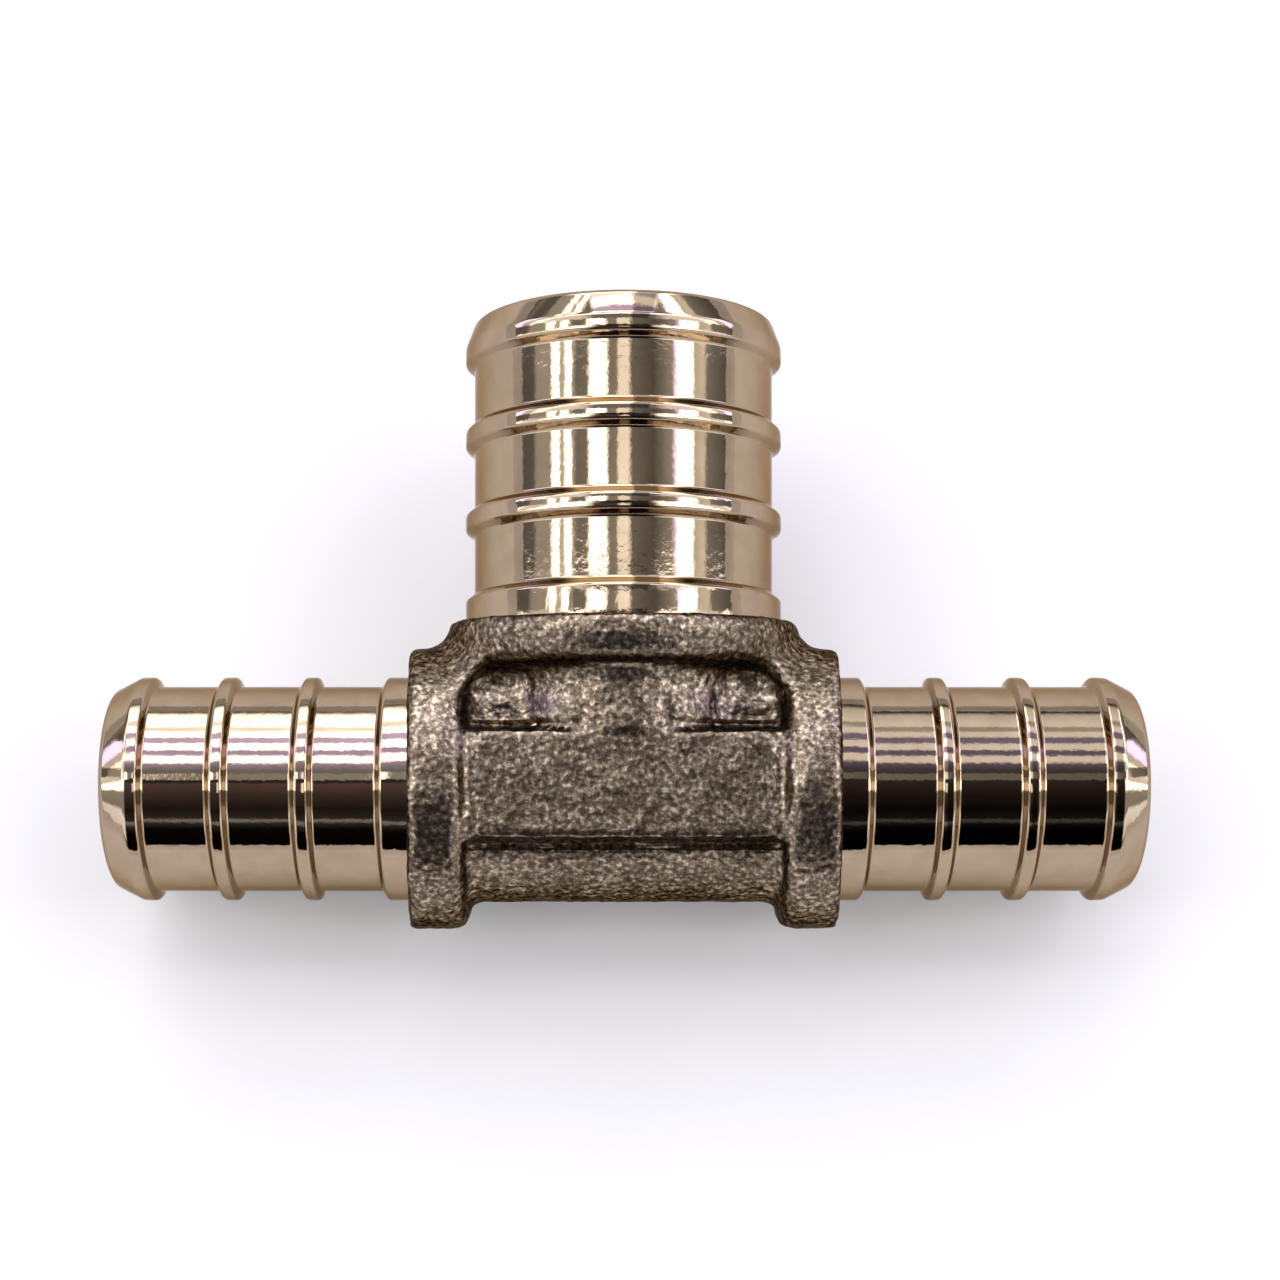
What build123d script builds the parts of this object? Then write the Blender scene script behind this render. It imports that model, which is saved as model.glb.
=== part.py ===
"""Reducing tee for crimped PEX pipe: one brass casting with three machined spigots.

The tee is drawn with its run along X, its branch along Y and the parting plane of its mould at
Z = 0. At the end it is tipped about the run, into the pose in which it lies on a flat surface,
and set down with the middle of its footprint at the origin.
"""
import os
from math import acos, atan2, degrees, hypot, radians, tan

from build123d import *

# Run spigots, for the smaller pipe: radii, then lengths along the spigot
run_rib_radius = 6.03
run_groove_depth = 0.5
run_bore_radius = 4.45
run_shoulder_length = 1.05
run_first_groove = 3.2
run_rib_pitch = 4.4
run_rib_land = 0.64
run_rib_flank = 0.28
run_nose_length = 1.5
run_nose_drop = 0.75

# Branch spigot, for the larger pipe
branch_rib_radius = 8.52
branch_groove_depth = 0.48
branch_bore_radius = 6.75
branch_shoulder_length = 1.0
branch_first_groove = 3.05
branch_rib_pitch = 4.5
branch_rib_land = 0.8
branch_rib_flank = 0.37
branch_nose_length = 1.35
branch_nose_drop = 0.5

# Both sizes of spigot
rib_count = 3
nose_chamfer = 0.25

# Casting: a barrel between two rims on the run, and a neck below a rim on the branch
barrel_radius = 6.15
run_rim_radius = 7.6
run_face = 11.6
run_rim_width = 3.3
neck_radius = 6.9
branch_rim_radius = 9.4
branch_face = 9.05
branch_rim_width = 2.85
web_thickness = 8.4

# Casting: rounds, draft of the two mould halves, and the flat pad on front and back
rim_inner_round = 0.5
rim_outer_round = 0.45
saddle_round = 1.3
mould_draft = 3.5
pad_length = 15.9
pad_height = 5.6
pad_reach = 6.75
pad_edge_round = 0.25

# Water passages: the spigots are bored, and meet in a wider chamber cored into the casting
chamber_radius = 4.9
chamber_length = 22.4
branch_passage_radius = 4.6
branch_bore_floor = 9.2
drill_point_angle = 118

# Directions of the three outlets, each with its seam line out of sight
to_right = Plane(origin=(0, 0, 0), x_dir=(0, -1, 0), z_dir=(1, 0, 0))
to_left = Plane(origin=(0, 0, 0), x_dir=(0, -1, 0), z_dir=(-1, 0, 0))
to_branch = Plane(origin=(0, 0, 0), x_dir=(0, 0, -1), z_dir=(0, 1, 0))

run_rim_start = run_face - run_rim_width
branch_rim_start = branch_face - branch_rim_width
clear_of_all = 2 * (run_face + branch_rim_radius)

# Two places closer than this count as one
near = 0.02


def rim(radius, start, face):
    """A disc along +Z with rounded edges, on a thinner core that reaches back to the origin."""
    with BuildPart() as disc:
        with BuildSketch(Plane.XZ):
            with BuildLine():
                inner = radius - rim_inner_round
                Polyline((radius, face), (0, face), (0, 0), (inner, 0), (inner, start))
                RadiusArc((inner, start), (radius, start + rim_inner_round), -rim_inner_round)
                Line((radius, start + rim_inner_round), (radius, face))
            make_face()
        revolve(axis=Axis.Z)
    return disc.part


def spigot(rib, groove_depth, root, shoulder, first_groove, pitch, land, flank, nose, nose_drop):
    """A barbed spigot along +Z from a casting face at Z = 0, with its root sunk in the casting."""
    groove = rib - groove_depth
    first_foot = shoulder + flank + first_groove
    last_edge = first_foot + (rib_count - 1) * pitch + flank + land
    outline = [(0, -root), (rib, -root), (rib, shoulder), (groove, shoulder + flank)]
    for number in range(rib_count):
        foot = first_foot + number * pitch
        outline += [(groove, foot), (rib, foot + flank), (rib, foot + flank + land)]
        if number < rib_count - 1:
            outline.append((groove, foot + flank + land + flank))
    outline += [(rib - nose_drop, last_edge + nose), (0, last_edge + nose)]
    with BuildPart() as turned:
        with BuildSketch(Plane.XZ) as section:
            with BuildLine():
                Polyline(*outline, close=True)
            make_face()
            tip_corner = section.vertices().sort_by_distance((rib - nose_drop, last_edge + nose))[0]
            chamfer(tip_corner, length=nose_chamfer)
        revolve(axis=Axis.Z)
    return turned.part


with BuildPart() as envelope:
    with Locations(to_right, to_left):
        add(rim(run_rim_radius, run_rim_start, run_face))
    with Locations(to_branch):
        add(rim(branch_rim_radius, branch_rim_start, branch_face))
    # Each mould half draws away from the parting plane, so the outer faces lean inwards
    lean = clear_of_all * tan(radians(mould_draft))
    with BuildSketch(Plane.XZ):
        with BuildLine():
            Polyline(
                (run_face, 0),
                (run_face - lean, clear_of_all),
                (lean - run_face, clear_of_all),
                (-run_face, 0),
                (lean - run_face, -clear_of_all),
                (run_face - lean, -clear_of_all),
                close=True,
            )
        make_face()
    extrude(amount=clear_of_all, both=True, mode=Mode.INTERSECT)
    with BuildSketch(Plane.YZ):
        with BuildLine():
            Polyline(
                (branch_face, 0),
                (branch_face - lean, clear_of_all),
                (-clear_of_all, clear_of_all),
                (-clear_of_all, -clear_of_all),
                (branch_face - lean, -clear_of_all),
                close=True,
            )
        make_face()
    extrude(amount=clear_of_all, both=True, mode=Mode.INTERSECT)

with BuildPart() as core:
    # Barrel, branch neck and the web that joins them behind the rims
    with BuildSketch(to_right):
        Circle(barrel_radius)
    extrude(amount=run_face, both=True)
    with BuildSketch(to_branch.offset(pad_height / 2)):
        Circle(neck_radius)
    extrude(amount=branch_face - pad_height / 2)
    with BuildSketch(to_branch):
        Rectangle(web_thickness, 2 * run_face)
    extrude(amount=branch_face)

with BuildPart() as pocket:
    # The hollow between the rims, all round the barrel and below the branch rim
    with BuildSketch(Plane.XY.offset(-clear_of_all)):
        with Locations((0, branch_rim_start)):
            Rectangle(2 * run_rim_start, clear_of_all, align=(Align.CENTER, Align.MAX))
    extrude(amount=2 * clear_of_all)
    add(core.part, mode=Mode.SUBTRACT)

def on_saddle(edge):
    """Whether an edge lies where the run rims cross the branch rim."""
    x, y, z = edge.center()
    across_rim = run_rim_start < abs(x) < branch_rim_radius + near
    return across_rim and branch_rim_start < y < run_rim_radius + near


with BuildPart() as casting:
    add(envelope.part)
    add(pocket.part, mode=Mode.SUBTRACT)
    # The rims of run and branch flow into each other in a saddle at each shoulder
    saddles = casting.edges().filter_by(GeomType.BSPLINE).filter_by(on_saddle)
    fillet(saddles, radius=saddle_round)

with BuildPart() as pad:
    # Flat pad, proud of the barrel on the front and on the back
    Box(pad_length, pad_height, 2 * pad_reach)
    fillet(pad.faces().filter_by(Axis.Z).edges(), radius=pad_edge_round)

run_spigot = spigot(
    rib=run_rib_radius,
    groove_depth=run_groove_depth,
    root=run_rim_width / 2,
    shoulder=run_shoulder_length,
    first_groove=run_first_groove,
    pitch=run_rib_pitch,
    land=run_rib_land,
    flank=run_rib_flank,
    nose=run_nose_length,
    nose_drop=run_nose_drop,
)
branch_spigot = spigot(
    rib=branch_rib_radius,
    groove_depth=branch_groove_depth,
    root=branch_rim_width / 2,
    shoulder=branch_shoulder_length,
    first_groove=branch_first_groove,
    pitch=branch_rib_pitch,
    land=branch_rib_land,
    flank=branch_rib_flank,
    nose=branch_nose_length,
    nose_drop=branch_nose_drop,
)

with BuildPart() as tee:
    add(casting.part)
    add(pad.part)
    with Locations(to_right.offset(run_face), to_left.offset(run_face)):
        add(run_spigot)
    with Locations(to_branch.offset(branch_face)):
        add(branch_spigot)
    # Straight bore through the run
    with BuildSketch(to_right):
        Circle(run_bore_radius)
    extrude(amount=clear_of_all, both=True, mode=Mode.SUBTRACT)
    # Cored chamber in the body, with straight ends inside the rims
    with BuildSketch(to_right):
        Circle(chamber_radius)
    extrude(amount=chamber_length / 2, both=True, mode=Mode.SUBTRACT)
    # Wide bore in the branch, with a drill-point floor and a narrower passage down to the chamber
    with BuildSketch(Plane.XY):
        with BuildLine():
            point_depth = (branch_bore_radius - branch_passage_radius) / tan(radians(drill_point_angle / 2))
            Polyline(
                (0, 0),
                (branch_passage_radius, 0),
                (branch_passage_radius, branch_bore_floor - point_depth),
                (branch_bore_radius, branch_bore_floor),
                (branch_bore_radius, clear_of_all),
                (0, clear_of_all),
                close=True,
            )
        make_face()
    revolve(axis=Axis.Y, mode=Mode.SUBTRACT)

# Lying down, the tee touches the surface along both run rims and on the inner edge of the branch
# rim, a torus whose tube has the radius rim_inner_round
tube_y = branch_rim_start + rim_inner_round
tube_z = branch_rim_radius - rim_inner_round
drop = (run_rim_radius - rim_inner_round) / hypot(tube_y, tube_z)
lying_angle = degrees(acos(drop) - atan2(tube_y, tube_z))

with BuildPart() as lying_tee:
    add(tee.part, rotation=(lying_angle, 0, 0))

with BuildPart() as tee_fitting:
    space = lying_tee.part.bounding_box()
    with Locations((0, -space.center().Y, -space.min.Z)):
        add(lying_tee.part)
tee_fitting.part.label = "tee_fitting"

os.makedirs("parts", exist_ok=True)
export_step(tee_fitting.part, "parts/tee_fitting.step")
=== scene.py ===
from math import pi, radians, tan

import bmesh
import bpy
from mathutils import Matrix, Vector, noise


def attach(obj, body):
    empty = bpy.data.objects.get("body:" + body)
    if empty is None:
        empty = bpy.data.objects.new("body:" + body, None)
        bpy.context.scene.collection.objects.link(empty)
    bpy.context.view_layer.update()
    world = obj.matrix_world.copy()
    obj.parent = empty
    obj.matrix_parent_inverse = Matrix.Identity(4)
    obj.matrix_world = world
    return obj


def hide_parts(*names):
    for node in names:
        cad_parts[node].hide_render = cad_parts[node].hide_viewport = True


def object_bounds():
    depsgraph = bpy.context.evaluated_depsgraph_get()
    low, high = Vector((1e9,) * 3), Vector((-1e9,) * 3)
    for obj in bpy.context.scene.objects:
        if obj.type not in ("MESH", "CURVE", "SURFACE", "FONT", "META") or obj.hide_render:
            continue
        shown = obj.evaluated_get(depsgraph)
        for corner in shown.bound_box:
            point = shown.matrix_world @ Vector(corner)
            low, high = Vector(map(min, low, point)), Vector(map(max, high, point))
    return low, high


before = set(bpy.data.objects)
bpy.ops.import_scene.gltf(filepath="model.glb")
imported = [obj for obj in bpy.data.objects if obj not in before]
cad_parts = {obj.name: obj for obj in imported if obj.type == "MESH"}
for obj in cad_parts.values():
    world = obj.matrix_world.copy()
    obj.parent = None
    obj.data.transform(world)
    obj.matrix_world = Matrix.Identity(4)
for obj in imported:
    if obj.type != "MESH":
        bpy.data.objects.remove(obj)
cad_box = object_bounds()
scene = bpy.context.scene
scene.view_settings.view_transform = "Standard"

# The surface that the tee lies on: a plain pale sheet of paper, right under the fitting's
# lowest point. Far from the tee it curves up into a low backdrop. It isn't part of the
# fitting. It glows a little where it is seen straight or mirrored, so that it looks white.
floor_level = cad_box[0][2]
flat_reach = 1.5
sweep_up = ((1.56, 0.01), (1.62, 0.05), (1.65, 0.12), (1.66, 0.27))
paper_colour = (0.58, 0.57, 0.55, 1)
paper_glow = 0.15
floor_mesh = bpy.data.meshes.new("floor")
sheet = bmesh.new()
bmesh.ops.create_circle(
    sheet,
    cap_ends=True,
    segments=64,
    radius=flat_reach,
    matrix=Matrix.Translation((0, 0, floor_level)),
)
for reach, height in sweep_up:
    edge_of_sheet = [edge for edge in sheet.edges if edge.is_boundary]
    sweep = bmesh.ops.extrude_edge_only(sheet, edges=edge_of_sheet)
    for vert in sweep["geom"]:
        if isinstance(vert, bmesh.types.BMVert):
            vert.co.z = 0
            vert.co = vert.co.normalized() * reach + Vector((0, 0, floor_level + height))
sheet.to_mesh(floor_mesh)
sheet.free()
floor = bpy.data.objects.new("floor", floor_mesh)
scene.collection.objects.link(floor)
paper = bpy.data.materials.new("paper")
paper.use_nodes = True
paper_nodes = paper.node_tree.nodes
paper_links = paper.node_tree.links
paper_shader = paper_nodes["Principled BSDF"]
paper_shader.inputs["Base Color"].default_value = paper_colour
paper_shader.inputs["Roughness"].default_value = 0.9
paper_shader.inputs["Specular IOR Level"].default_value = 0.1
light_path = paper_nodes.new("ShaderNodeLightPath")
seen = paper_nodes.new("ShaderNodeMath")
seen.operation = "MAXIMUM"
paper_links.new(light_path.outputs["Is Camera Ray"], seen.inputs[0])
mirrored = paper_nodes.new("ShaderNodeMath")
mirrored.operation = "MAXIMUM"
paper_links.new(light_path.outputs["Is Glossy Ray"], mirrored.inputs[0])
paper_links.new(light_path.outputs["Is Transmission Ray"], mirrored.inputs[1])
paper_links.new(mirrored.outputs[0], seen.inputs[1])
glow = paper_nodes.new("ShaderNodeMath")
glow.operation = "MULTIPLY"
glow.inputs[1].default_value = paper_glow
paper_links.new(seen.outputs[0], glow.inputs[0])
paper_shader.inputs["Emission Color"].default_value = (1, 1, 1, 1)
paper_links.new(glow.outputs[0], paper_shader.inputs["Emission Strength"])
floor_mesh.materials.append(paper)

# The camera looks square on to the plane of the tee from close above, as a phone does, so the
# near side of every rib is seen larger than its outline.
lying_angle = radians(13.4333)
run_rim_radius = 0.0076
camera_place = (-0.0014, -0.005, 0.118)
crossing = Vector((0, cad_box[0][1] + run_rim_radius, floor_level + run_rim_radius))
lie_down = Matrix.Translation(crossing) @ Matrix.Rotation(lying_angle, 4, "X")
camera_data = bpy.data.cameras.new("camera")
camera = bpy.data.objects.new("camera", camera_data)
scene.collection.objects.link(camera)
scene.camera = camera
camera.rotation_euler = (lying_angle, 0, 0)
camera.location = lie_down @ Vector(camera_place)
camera_data.sensor_width = 36
camera_data.lens = 61.2
camera_data.shift_x = 0.0332
camera_data.shift_y = 0.1886
camera_data.clip_start = 0.01

# The room: rows of lamps overhead, behind the tee and to its sides, and a dark side towards
# the viewer. Turned brass shows it as bright and dark stripes. It isn't part of the fitting.
lamp_strength = 5.5
room = bpy.data.worlds.new("room")
scene.world = room
room.use_nodes = True
room_nodes = room.node_tree.nodes
room_links = room.node_tree.links
direction = room_nodes.new("ShaderNodeTexCoord")
turn = room_nodes.new("ShaderNodeVectorRotate")
turn.rotation_type = "X_AXIS"
turn.inputs["Angle"].default_value = -lying_angle
room_links.new(direction.outputs["Generated"], turn.inputs["Vector"])
split = room_nodes.new("ShaderNodeSeparateXYZ")
room_links.new(turn.outputs["Vector"], split.inputs["Vector"])


def room_math(operation, *values, clamp=False):
    """A Math node of the room, whose inputs are sockets or numbers."""
    node = room_nodes.new("ShaderNodeMath")
    node.operation = operation
    node.use_clamp = clamp
    for socket, value in zip(node.inputs, values):
        if isinstance(value, (int, float)):
            socket.default_value = value
        else:
            room_links.new(value, socket)
    return node.outputs[0]


def rows_of_lamps(sideways, stops):
    """The room's light at each angle from overhead, in degrees towards one side."""
    angle = room_math("ARCTAN2", split.outputs[sideways], split.outputs["Z"])
    place = room_math("MULTIPLY_ADD", angle, 1 / (2 * pi), 0.5)
    ramp = room_nodes.new("ShaderNodeValToRGB")
    room_links.new(place, ramp.inputs["Fac"])
    points = ramp.color_ramp.elements
    for point, (degrees_over, colour) in ((points[0], stops[0]), (points[1], stops[-1])):
        point.position = degrees_over / 360 + 0.5
        point.color = (*colour, 1)
    for degrees_over, colour in stops[1:-1]:
        points.new(degrees_over / 360 + 0.5).color = (*colour, 1)
    return ramp.outputs["Color"]


def light(level, tint=(1, 1, 1)):
    """A share of the room's full light, tinted."""
    return tuple(level * channel for channel in tint)


warm = (1, 0.72, 0.76)
lilac = (1, 0.9, 1.65)
white = (1, 1, 1.06)
cool = (1, 1.04, 1.25)
over_run = rows_of_lamps("Y", [
    (-94, light(0.08)), (-86, light(0.05)), (-79, light(0.003)), (-74, light(0.0005)),
    (-47, light(0.001)), (-40, light(0.01)), (-38.5, light(0.07, cool)),
    (-36.5, light(0.07, cool)), (-35, light(0.01)), (-24, light(0.005, warm)),
    (-10, light(0.016, warm)), (4.5, light(0.036, warm)), (5, light(0.7, white)),
    (7, light(0.7, white)), (8, light(0.07)), (18, light(0.065, cool)),
    (26, light(0.15, lilac)), (27.5, light(1, white)), (34, light(1, white)),
    (35.5, light(0.18, lilac)), (41, light(0.18, lilac)), (42, light(1, white)),
    (49, light(1, white)), (50, light(0.25, lilac)), (56.5, light(0.25, lilac)),
    (58, light(1, white)), (64, light(1, white)), (65, light(0.45, cool)),
    (70, light(0.45)), (72, light(1, white)), (88, light(0.7, white)), (92, light(0.06)),
])
over_branch = rows_of_lamps("X", [
    (-92, light(0.04, warm)), (-87, light(0.08)), (-82, light(0.04)), (-73, light(0.045)),
    (-70, light(0.135)), (-57, light(0.14)), (-56, light(0.9, white)),
    (-50.5, light(0.9, white)), (-49.5, light(0.2)), (-46.5, light(0.22)),
    (-45.5, light(1, white)), (-40.5, light(1, white)), (-39.5, light(0.16)),
    (-37.5, light(0.14)), (-36.5, light(0.07)), (-28, light(0.08)), (-25.5, light(1, white)),
    (-13.5, light(1, white)), (-12, light(0.1)), (-5.5, light(0.11)), (-4.6, light(0.42)),
    (3.6, light(0.42)), (5, light(0.07)), (22, light(0.035)), (28, light(0.07)),
    (37, light(0.13)), (42, light(1, lilac)), (53, light(1, white)), (54.5, light(0.22)),
    (63, light(0.28)), (66, light(0.08)), (88, light(0.03)),
])
past_ends = rows_of_lamps("Y", [
    (-90, light(0.05)), (-60, light(0.08)), (-57, light(0.3)), (-35, light(0.35, cool)),
    (-30, light(0.1)), (-5, light(0.12)), (-3, light(0.9, white)), (9, light(0.9, white)),
    (12, light(0.3)), (28, light(0.35, cool)), (30, light(0.8, white)),
    (38, light(0.7, white)), (41, light(0.25)), (52, light(0.25, cool)),
    (55, light(0.6, lilac)), (74, light(0.6, lilac)), (80, light(0.08)), (90, light(0.06)),
])


def within(value, start, end, edge):
    """One where a value lies between two others, falling to nothing over an edge."""
    after = room_math("MULTIPLY_ADD", value, 1 / edge, 1 - start / edge, clamp=True)
    before = room_math("MULTIPLY_ADD", value, -1 / edge, 1 + end / edge, clamp=True)
    return room_math("MULTIPLY", after, before)


def blend_of(kind, factor, first, second):
    """The mix of two colours of the room."""
    node = room_nodes.new("ShaderNodeMix")
    node.data_type = "RGBA"
    node.blend_type = kind
    for name, value in (("Factor", factor), ("A", first), ("B", second)):
        socket = next(i for i in node.inputs if i.name == name and i.enabled)
        if name == "Factor" and isinstance(value, (int, float)):
            socket.default_value = value
        elif isinstance(value, (int, float)):
            socket.default_value = (value, value, value, 1)
        else:
            room_links.new(value, socket)
    return next(o for o in node.outputs if o.enabled)


# The run mirrors the rows over it, dimmer to the right, and other rows past its ends. The
# branch and the sides of its nose mirror the rows across the tee.
across = room_math("ABSOLUTE", split.outputs["X"])
over_spigots = within(across, 0.0, 0.28, 0.04)
right_spigot = within(split.outputs["X"], 0.1, 0.28, 0.03)
dimmed = room_math("MULTIPLY_ADD", right_spigot, -0.7, 1)
far_rows = blend_of("MULTIPLY", 1, over_run, dimmed)
sides = within(across, 0.5, 1.1, 0.15)
with_ends = blend_of("MIX", sides, far_rows, past_ends)
over_neck = within(split.outputs["Y"], 0.14, 0.245, 0.01)
nose_rows = within(split.outputs["Y"], 0.56, 0.88, 0.03)
beside_run = room_math("SUBTRACT", nose_rows, over_spigots, clamp=True)
branch_share = room_math("MAXIMUM", over_neck, beside_run)
mixed_rows = blend_of("MIX", branch_share, with_ends, over_branch)
# Straight over the pad the room is an even grey, and dark just beyond it.
middle = within(across, 0, 0.05, 0.03)
past_pad = room_math(
    "MULTIPLY", within(across, 0, 0.3, 0.15), within(split.outputs["Y"], 0.075, 0.13, 0.01)
)
above_pad = room_math("MULTIPLY", middle, within(split.outputs["Y"], -0.09, 0.06, 0.015))
without_line = blend_of("MIX", past_pad, mixed_rows, 0.01)
whole_room = blend_of("MIX", above_pad, without_line, 0.42)
sky = room_nodes["Background"]
room_links.new(whole_room, sky.inputs["Color"])
sky.inputs["Strength"].default_value = lamp_strength

# The casting: barrel, neck, rims and pads in one piece of brass, cast in a sand mould, so its
# skin is grainy and its corners are soft. It starts from the solid, in millimetres and turned
# flat, with the three spigots cut away and the waterways closed.
millimetre = 0.001
run_face = 11.6
branch_face = 9.05
mould_draft = radians(3.5)
run_stub = 6.03
branch_stub = 8.52
weld = 0.0005
voxel = 0.17
casting = bmesh.new()
casting.from_mesh(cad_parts["tee_fitting"].data)
bmesh.ops.transform(
    casting,
    matrix=Matrix.Scale(1 / millimetre, 4) @ lie_down.inverted(),
    verts=casting.verts,
)
bmesh.ops.remove_doubles(casting, verts=casting.verts, dist=weld)
for cut, outwards in (
    ((run_face, 0, 0), (1, 0, 0)),
    ((-run_face, 0, 0), (-1, 0, 0)),
    ((0, branch_face, 0), (0, 1, 0)),
):
    bmesh.ops.bisect_plane(
        casting,
        geom=casting.verts[:] + casting.edges[:] + casting.faces[:],
        dist=0.0001,
        plane_co=cut,
        plane_no=outwards,
        clear_outer=True,
    )
outside = {max(casting.verts, key=lambda vert: vert.co.z)}
frontier = list(outside)
while frontier:
    vert = frontier.pop()
    for edge in vert.link_edges:
        other = edge.other_vert(vert)
        if other not in outside:
            outside.add(other)
            frontier.append(other)
passages = [vert for vert in casting.verts if vert not in outside]
bmesh.ops.delete(casting, geom=passages, context="VERTS")
bmesh.ops.holes_fill(casting, edges=[e for e in casting.edges if e.is_boundary], sides=0)
bmesh.ops.recalc_face_normals(casting, faces=casting.faces)
casting_mesh = bpy.data.meshes.new("casting")
casting.to_mesh(casting_mesh)
casting.free()


def settled(mesh, modifier, **settings):
    """The mesh after one modifier."""
    carrier = bpy.data.objects.new("carrier", mesh)
    scene.collection.objects.link(carrier)
    step = carrier.modifiers.new("step", modifier)
    for name, value in settings.items():
        setattr(step, name, value)
    graph = bpy.context.evaluated_depsgraph_get()
    result = bpy.data.meshes.new_from_object(carrier.evaluated_get(graph))
    bpy.data.objects.remove(carrier)
    return result


casting_mesh = settled(casting_mesh, "REMESH", mode="VOXEL", voxel_size=voxel)
skin = bmesh.new()
skin.from_mesh(casting_mesh)
pad_edge = [vert for vert in skin.verts if abs(vert.co.z) > 6.2 and abs(vert.co.y) < 3.4]
softer = set(skin.verts) - {vert for vert in pad_edge if abs(vert.co.x) < 7.5}
roots = [
    vert for vert in softer
    if 7.2 < abs(vert.co.x) < 9.4 and vert.co.yz.length > 5.8 and vert.co.y < 4
    or 3.9 < vert.co.y < 7.2 and vert.co.xz.length < 9.6 and abs(vert.co.z) > 3
]
neck = [
    vert for vert in skin.verts
    if 3.2 < vert.co.y < 6.2 and abs(vert.co.x) < 8 and 2.5 < abs(vert.co.z) < 7.2
]
for verts, rounds in ((skin.verts[:], 3), (list(softer), 9), (roots, 18), (neck, 30)):
    for _ in range(rounds):
        bmesh.ops.smooth_vert(
            skin, verts=verts, factor=0.5, use_axis_x=True, use_axis_y=True, use_axis_z=True
        )
skin.normal_update()
pad_half = 2.8
groove_half = 0.3
groove_deep = 0.35
dome = 0.05
for vert in skin.verts:
    place = vert.co
    grain = noise.noise(place * 2.6) * 0.045 + noise.noise(place * 0.7) * 0.04
    vert.co += vert.normal * (grain - 0.05)
    # the front and back of the branch rim dome slightly over the neck
    if place.y > 5.2 and abs(place.z) > 4 and 8.2 < place.xz.length < 9.8:
        under_rim = min(max((8.2 - place.y) / 2, 0), 1) * min(max(4.2 - abs(place.x) / 2, 0), 1)
        vert.co.xz *= 1 - dome * under_rim ** 2
    # a groove runs along both long sides of each pad
    beyond_pad = abs(place.y) - pad_half
    if 4 < abs(place.z) < 6.5 and abs(place.x) < 8.3 and 0 < beyond_pad < 2 * groove_half:
        groove_depth = groove_deep * max(0, 1 - (beyond_pad / groove_half - 1) ** 2)
        vert.co.z -= groove_depth * (1 if place.z > 0 else -1)
seat_edge = 0.25
for vert in skin.verts:
    x, y, z = vert.co
    # above the pad the groove tapers off towards the middle, where the neck comes down
    if 2.85 < y < 5 and 5 < abs(z) < 6.5 and abs(x) < 5:
        filled = min((5 - abs(x)) / 3, 1) * min((5 - y) / 1.5, 1)
        vert.co.z += (6.5 - abs(z)) * filled * (1 if z > 0 else -1)
    # the rims' end faces are flat where the spigots stand on them
    end = run_face - abs(z) * tan(mould_draft)
    if abs(x) > end - 0.15 and (y * y + z * z) ** 0.5 < run_stub + seat_edge:
        vert.co.x = end if x > 0 else -end
    end = branch_face - abs(z) * tan(mould_draft)
    if y > end - 0.15 and (x * x + z * z) ** 0.5 < branch_stub + seat_edge:
        vert.co.y = end
skin.to_mesh(casting_mesh)
skin.free()


def brass(name, roughness, edge_tint):
    """A brass material with its nodes, links and shader at hand."""
    material = bpy.data.materials.new(name)
    material.use_nodes = True
    shader = material.node_tree.nodes["Principled BSDF"]
    shader.inputs["Metallic"].default_value = 1
    shader.inputs["Roughness"].default_value = roughness
    shader.inputs["Specular Tint"].default_value = edge_tint
    return material, material.node_tree.nodes, material.node_tree.links, shader


def linked(nodes, links, kind, inputs, **settings):
    """A node with its inputs set or linked by name."""
    node = nodes.new("ShaderNode" + kind)
    for name, value in settings.items():
        setattr(node, name, value)
    for name, value in inputs.items():
        if isinstance(value, bpy.types.NodeSocket):
            links.new(value, node.inputs[name])
        else:
            node.inputs[name].default_value = value
    return node


def ramped(nodes, links, value, stops):
    """A colour ramp over a value, from stops of (position, colour)."""
    ramp = nodes.new("ShaderNodeValToRGB")
    links.new(value, ramp.inputs["Fac"])
    points = ramp.color_ramp.elements
    while len(points) < len(stops):
        points.new(0.5)
    for point, (position, colour) in zip(points, stops):
        point.position = position
        point.color = (*colour, 1)
    return ramp.outputs["Color"]


# Skin of the casting: dull brown-grey brass as it leaves the sand mould, with a bright grain
# where the print of the sand stands proud.
cast_skin, nodes, links, shader = brass("cast_skin", 0.3, (0.22, 0.195, 0.17, 1))
place = nodes.new("ShaderNodeTexCoord").outputs["Object"]
grains = linked(
    nodes, links, "TexNoise",
    {"Vector": place, "Scale": 3600, "Detail": 2.5, "Roughness": 0.6},
)
clouds = linked(
    nodes, links, "TexNoise",
    {"Vector": place, "Scale": 260, "Detail": 3, "Roughness": 0.55},
)
pits = linked(nodes, links, "TexVoronoi", {"Vector": place, "Scale": 3200})
colour = ramped(nodes, links, grains.outputs["Fac"], [
    (0.34, (0.08, 0.062, 0.044)),
    (0.48, (0.17, 0.134, 0.096)),
    (0.58, (0.315, 0.258, 0.185)),
    (0.68, (0.63, 0.535, 0.395)),
])
tone = ramped(nodes, links, clouds.outputs["Fac"], [
    (0.3, (0.6, 0.57, 0.55)),
    (0.7, (1, 1, 1)),
])
mixed = linked(nodes, links, "Mix", {}, data_type="RGBA", blend_type="MULTIPLY")
mixed.inputs["Factor"].default_value = 1
links.new(colour, mixed.inputs["A"])
links.new(tone, mixed.inputs["B"])
links.new(mixed.outputs["Result"], shader.inputs["Base Color"])
height = linked(nodes, links, "Math", {}, operation="ADD")
links.new(grains.outputs["Fac"], height.inputs[0])
links.new(pits.outputs["Distance"], height.inputs[1])
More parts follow.
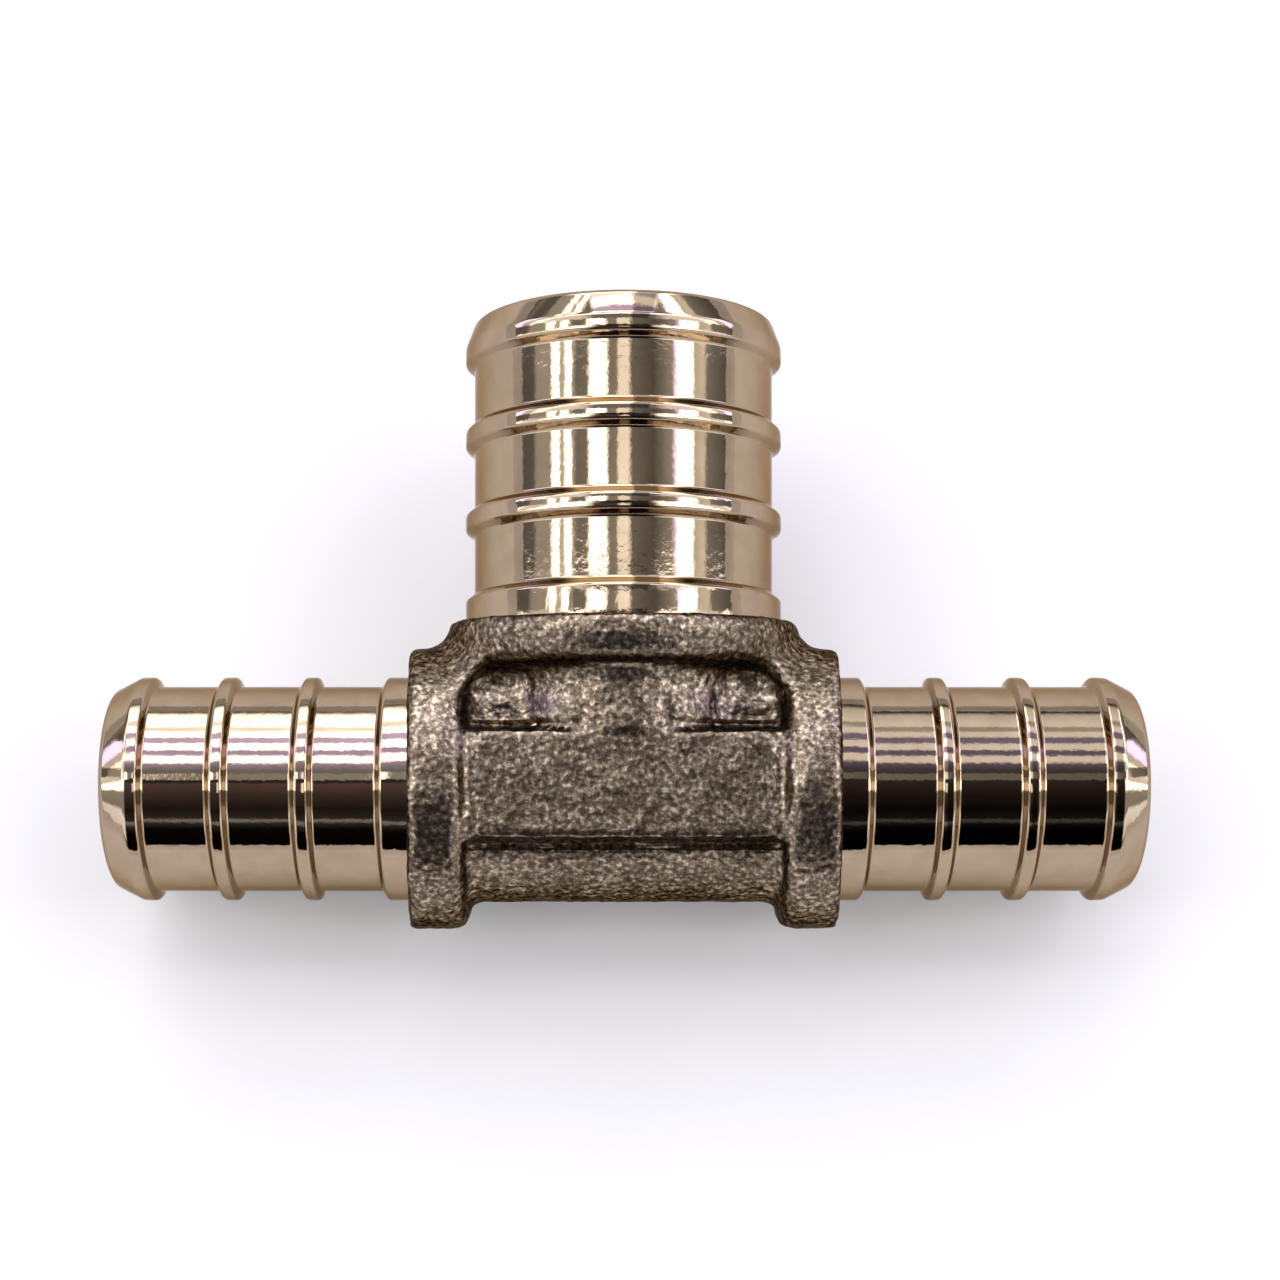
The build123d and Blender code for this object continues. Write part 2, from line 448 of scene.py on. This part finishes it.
bump = linked(
    nodes, links, "Bump",
    {"Strength": 0.3, "Distance": 0.00007, "Height": height.outputs[0]},
)
links.new(bump.outputs["Normal"], shader.inputs["Normal"])

# The three spigots: brass turned bright on a lathe out of the same casting, with ribs that
# grip the pipe, and bored through. The lathe leaves a fine chatter on them.
turned_brass, nodes, links, shader = brass("turned_brass", 0.035, (0.55, 0.46, 0.37, 1))
place = nodes.new("ShaderNodeTexCoord").outputs["Object"]
marks = linked(nodes, links, "TexNoise", {"Vector": place, "Scale": 700, "Detail": 3})
colour = ramped(nodes, links, marks.outputs["Fac"], [
    (0.3, (0.35, 0.268, 0.18)),
    (0.7, (0.41, 0.32, 0.22)),
])
links.new(colour, shader.inputs["Base Color"])
chatter = linked(nodes, links, "TexNoise", {"Vector": place, "Scale": 2600, "Detail": 4})
bump = linked(
    nodes, links, "Bump",
    {"Strength": 0.45, "Distance": 0.00001, "Height": chatter.outputs["Fac"]},
)
links.new(bump.outputs["Normal"], shader.inputs["Normal"])


def turned(outline):
    """A closed shape turned about +Z from its outline of (radius, height), in millimetres."""
    shape = bmesh.new()
    rim_points = [shape.verts.new((radius, 0, height)) for radius, height in outline]
    for first, second in zip(rim_points, rim_points[1:]):
        shape.edges.new((first, second))
    bmesh.ops.spin(
        shape,
        geom=shape.verts[:] + shape.edges[:],
        cent=(0, 0, 0),
        axis=(0, 0, 1),
        angle=2 * pi,
        steps=160,
        use_merge=True,
        use_duplicate=False,
    )
    bmesh.ops.remove_doubles(shape, verts=shape.verts, dist=weld)
    bmesh.ops.recalc_face_normals(shape, faces=shape.faces)
    return shape


rib_round = 0.11
groove_round = 0.1
foot_set_back = 0.08


def spigot(stub, groove, root, face, shoulder, first, pitch, land, flank, nose, drop, nose_round):
    """A barbed spigot along +Z: stub, three ribs and a tapered nose."""
    outline = [(0, root), (stub, root), (stub, face + shoulder), (groove, face + shoulder + flank)]
    for rib in range(3):
        foot = face + shoulder + flank + first + rib * pitch
        outline += [(groove, foot + foot_set_back), (stub, foot + flank)]
        outline.append((stub, foot + flank + land))
        if rib < 2:
            outline.append((groove, foot + flank + land + flank))
    tip = outline[-1][1] + nose
    outline += [(stub - drop, tip), (0, tip)]
    shape = turned(outline)
    for radius, height, rounding in (
        (stub - drop, tip, nose_round), (stub, None, rib_round), (groove, None, groove_round),
    ):
        corners = [
            edge for edge in shape.edges
            if edge.is_manifold
            and abs(edge.calc_face_angle()) > radians(15)
            and all(abs(vert.co.xy.length - radius) < 0.01 for vert in edge.verts)
            and (height is None or abs(edge.verts[0].co.z - height) < 0.01)
        ]
        bmesh.ops.bevel(
            shape, geom=corners, offset=rounding, segments=4, profile=0.5, affect="EDGES",
            material=-1, clamp_overlap=True,
        )
    return shape


run_shape = spigot(
    stub=run_stub, groove=5.53, root=9.5, face=run_face, shoulder=1.05, first=3.2, pitch=4.4,
    land=0.64, flank=0.28, nose=1.5, drop=0.75, nose_round=0.35,
)
branch_shape = spigot(
    stub=branch_stub, groove=8.04, root=7.0, face=branch_face, shoulder=1.0, first=3.05,
    pitch=4.5, land=0.8, flank=0.37, nose=1.35, drop=0.5, nose_round=0.3,
)
to_right = Matrix.Rotation(pi / 2, 4, "Y")
to_left = Matrix.Rotation(-pi / 2, 4, "Y")
to_branch = Matrix.Rotation(-pi / 2, 4, "X")
run_bore_radius = 4.45
chamber_radius = 4.9
chamber_half = 11.2
branch_bore_radius = 6.75
passage_radius = 4.6
drill_point = (7.908, 9.2)
past_tips = 40
run_bore_shape = turned([
    (0, -past_tips), (run_bore_radius, -past_tips), (run_bore_radius, -chamber_half),
    (chamber_radius, -chamber_half), (chamber_radius, chamber_half),
    (run_bore_radius, chamber_half), (run_bore_radius, past_tips), (0, past_tips),
])
branch_bore_shape = turned([
    (0, 0), (passage_radius, 0), (passage_radius, drill_point[0]),
    (branch_bore_radius, drill_point[1]), (branch_bore_radius, past_tips), (0, past_tips),
])


def placed(name, shape, matrix, material):
    """A mesh of a shape, moved to its place."""
    mesh = bpy.data.meshes.new(name)
    shape.to_mesh(mesh)
    mesh.transform(matrix)
    mesh.materials.append(material)
    return mesh


def combined(mesh, tool_mesh, operation):
    """The union or difference of two meshes; each face keeps its material."""
    tool = bpy.data.objects.new("tool", tool_mesh)
    scene.collection.objects.link(tool)
    result = settled(
        mesh, "BOOLEAN",
        operation=operation, object=tool, solver="EXACT", material_mode="TRANSFER",
    )
    bpy.data.objects.remove(tool)
    return result


casting_mesh.materials.clear()
casting_mesh.materials.append(cast_skin)
tee_mesh = casting_mesh
for name, shape, matrix, operation in (
    ("right", run_shape, to_right, "UNION"),
    ("left", run_shape, to_left, "UNION"),
    ("branch", branch_shape, to_branch, "UNION"),
    ("run_bore", run_bore_shape, to_right, "DIFFERENCE"),
    ("branch_bore", branch_bore_shape, to_branch, "DIFFERENCE"),
):
    tee_mesh = combined(tee_mesh, placed(name, shape, matrix, turned_brass), operation)
tee_mesh.transform(lie_down @ Matrix.Scale(millimetre, 4))
tee_mesh.shade_smooth()
tee_mesh.set_sharp_from_angle(angle=radians(35))
tee = bpy.data.objects.new("tee", tee_mesh)
scene.collection.objects.link(tee)
even_shine = tee.modifiers.new("even_shine", "WEIGHTED_NORMAL")
even_shine.keep_sharp = True
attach(tee, "root")
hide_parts("tee_fitting")
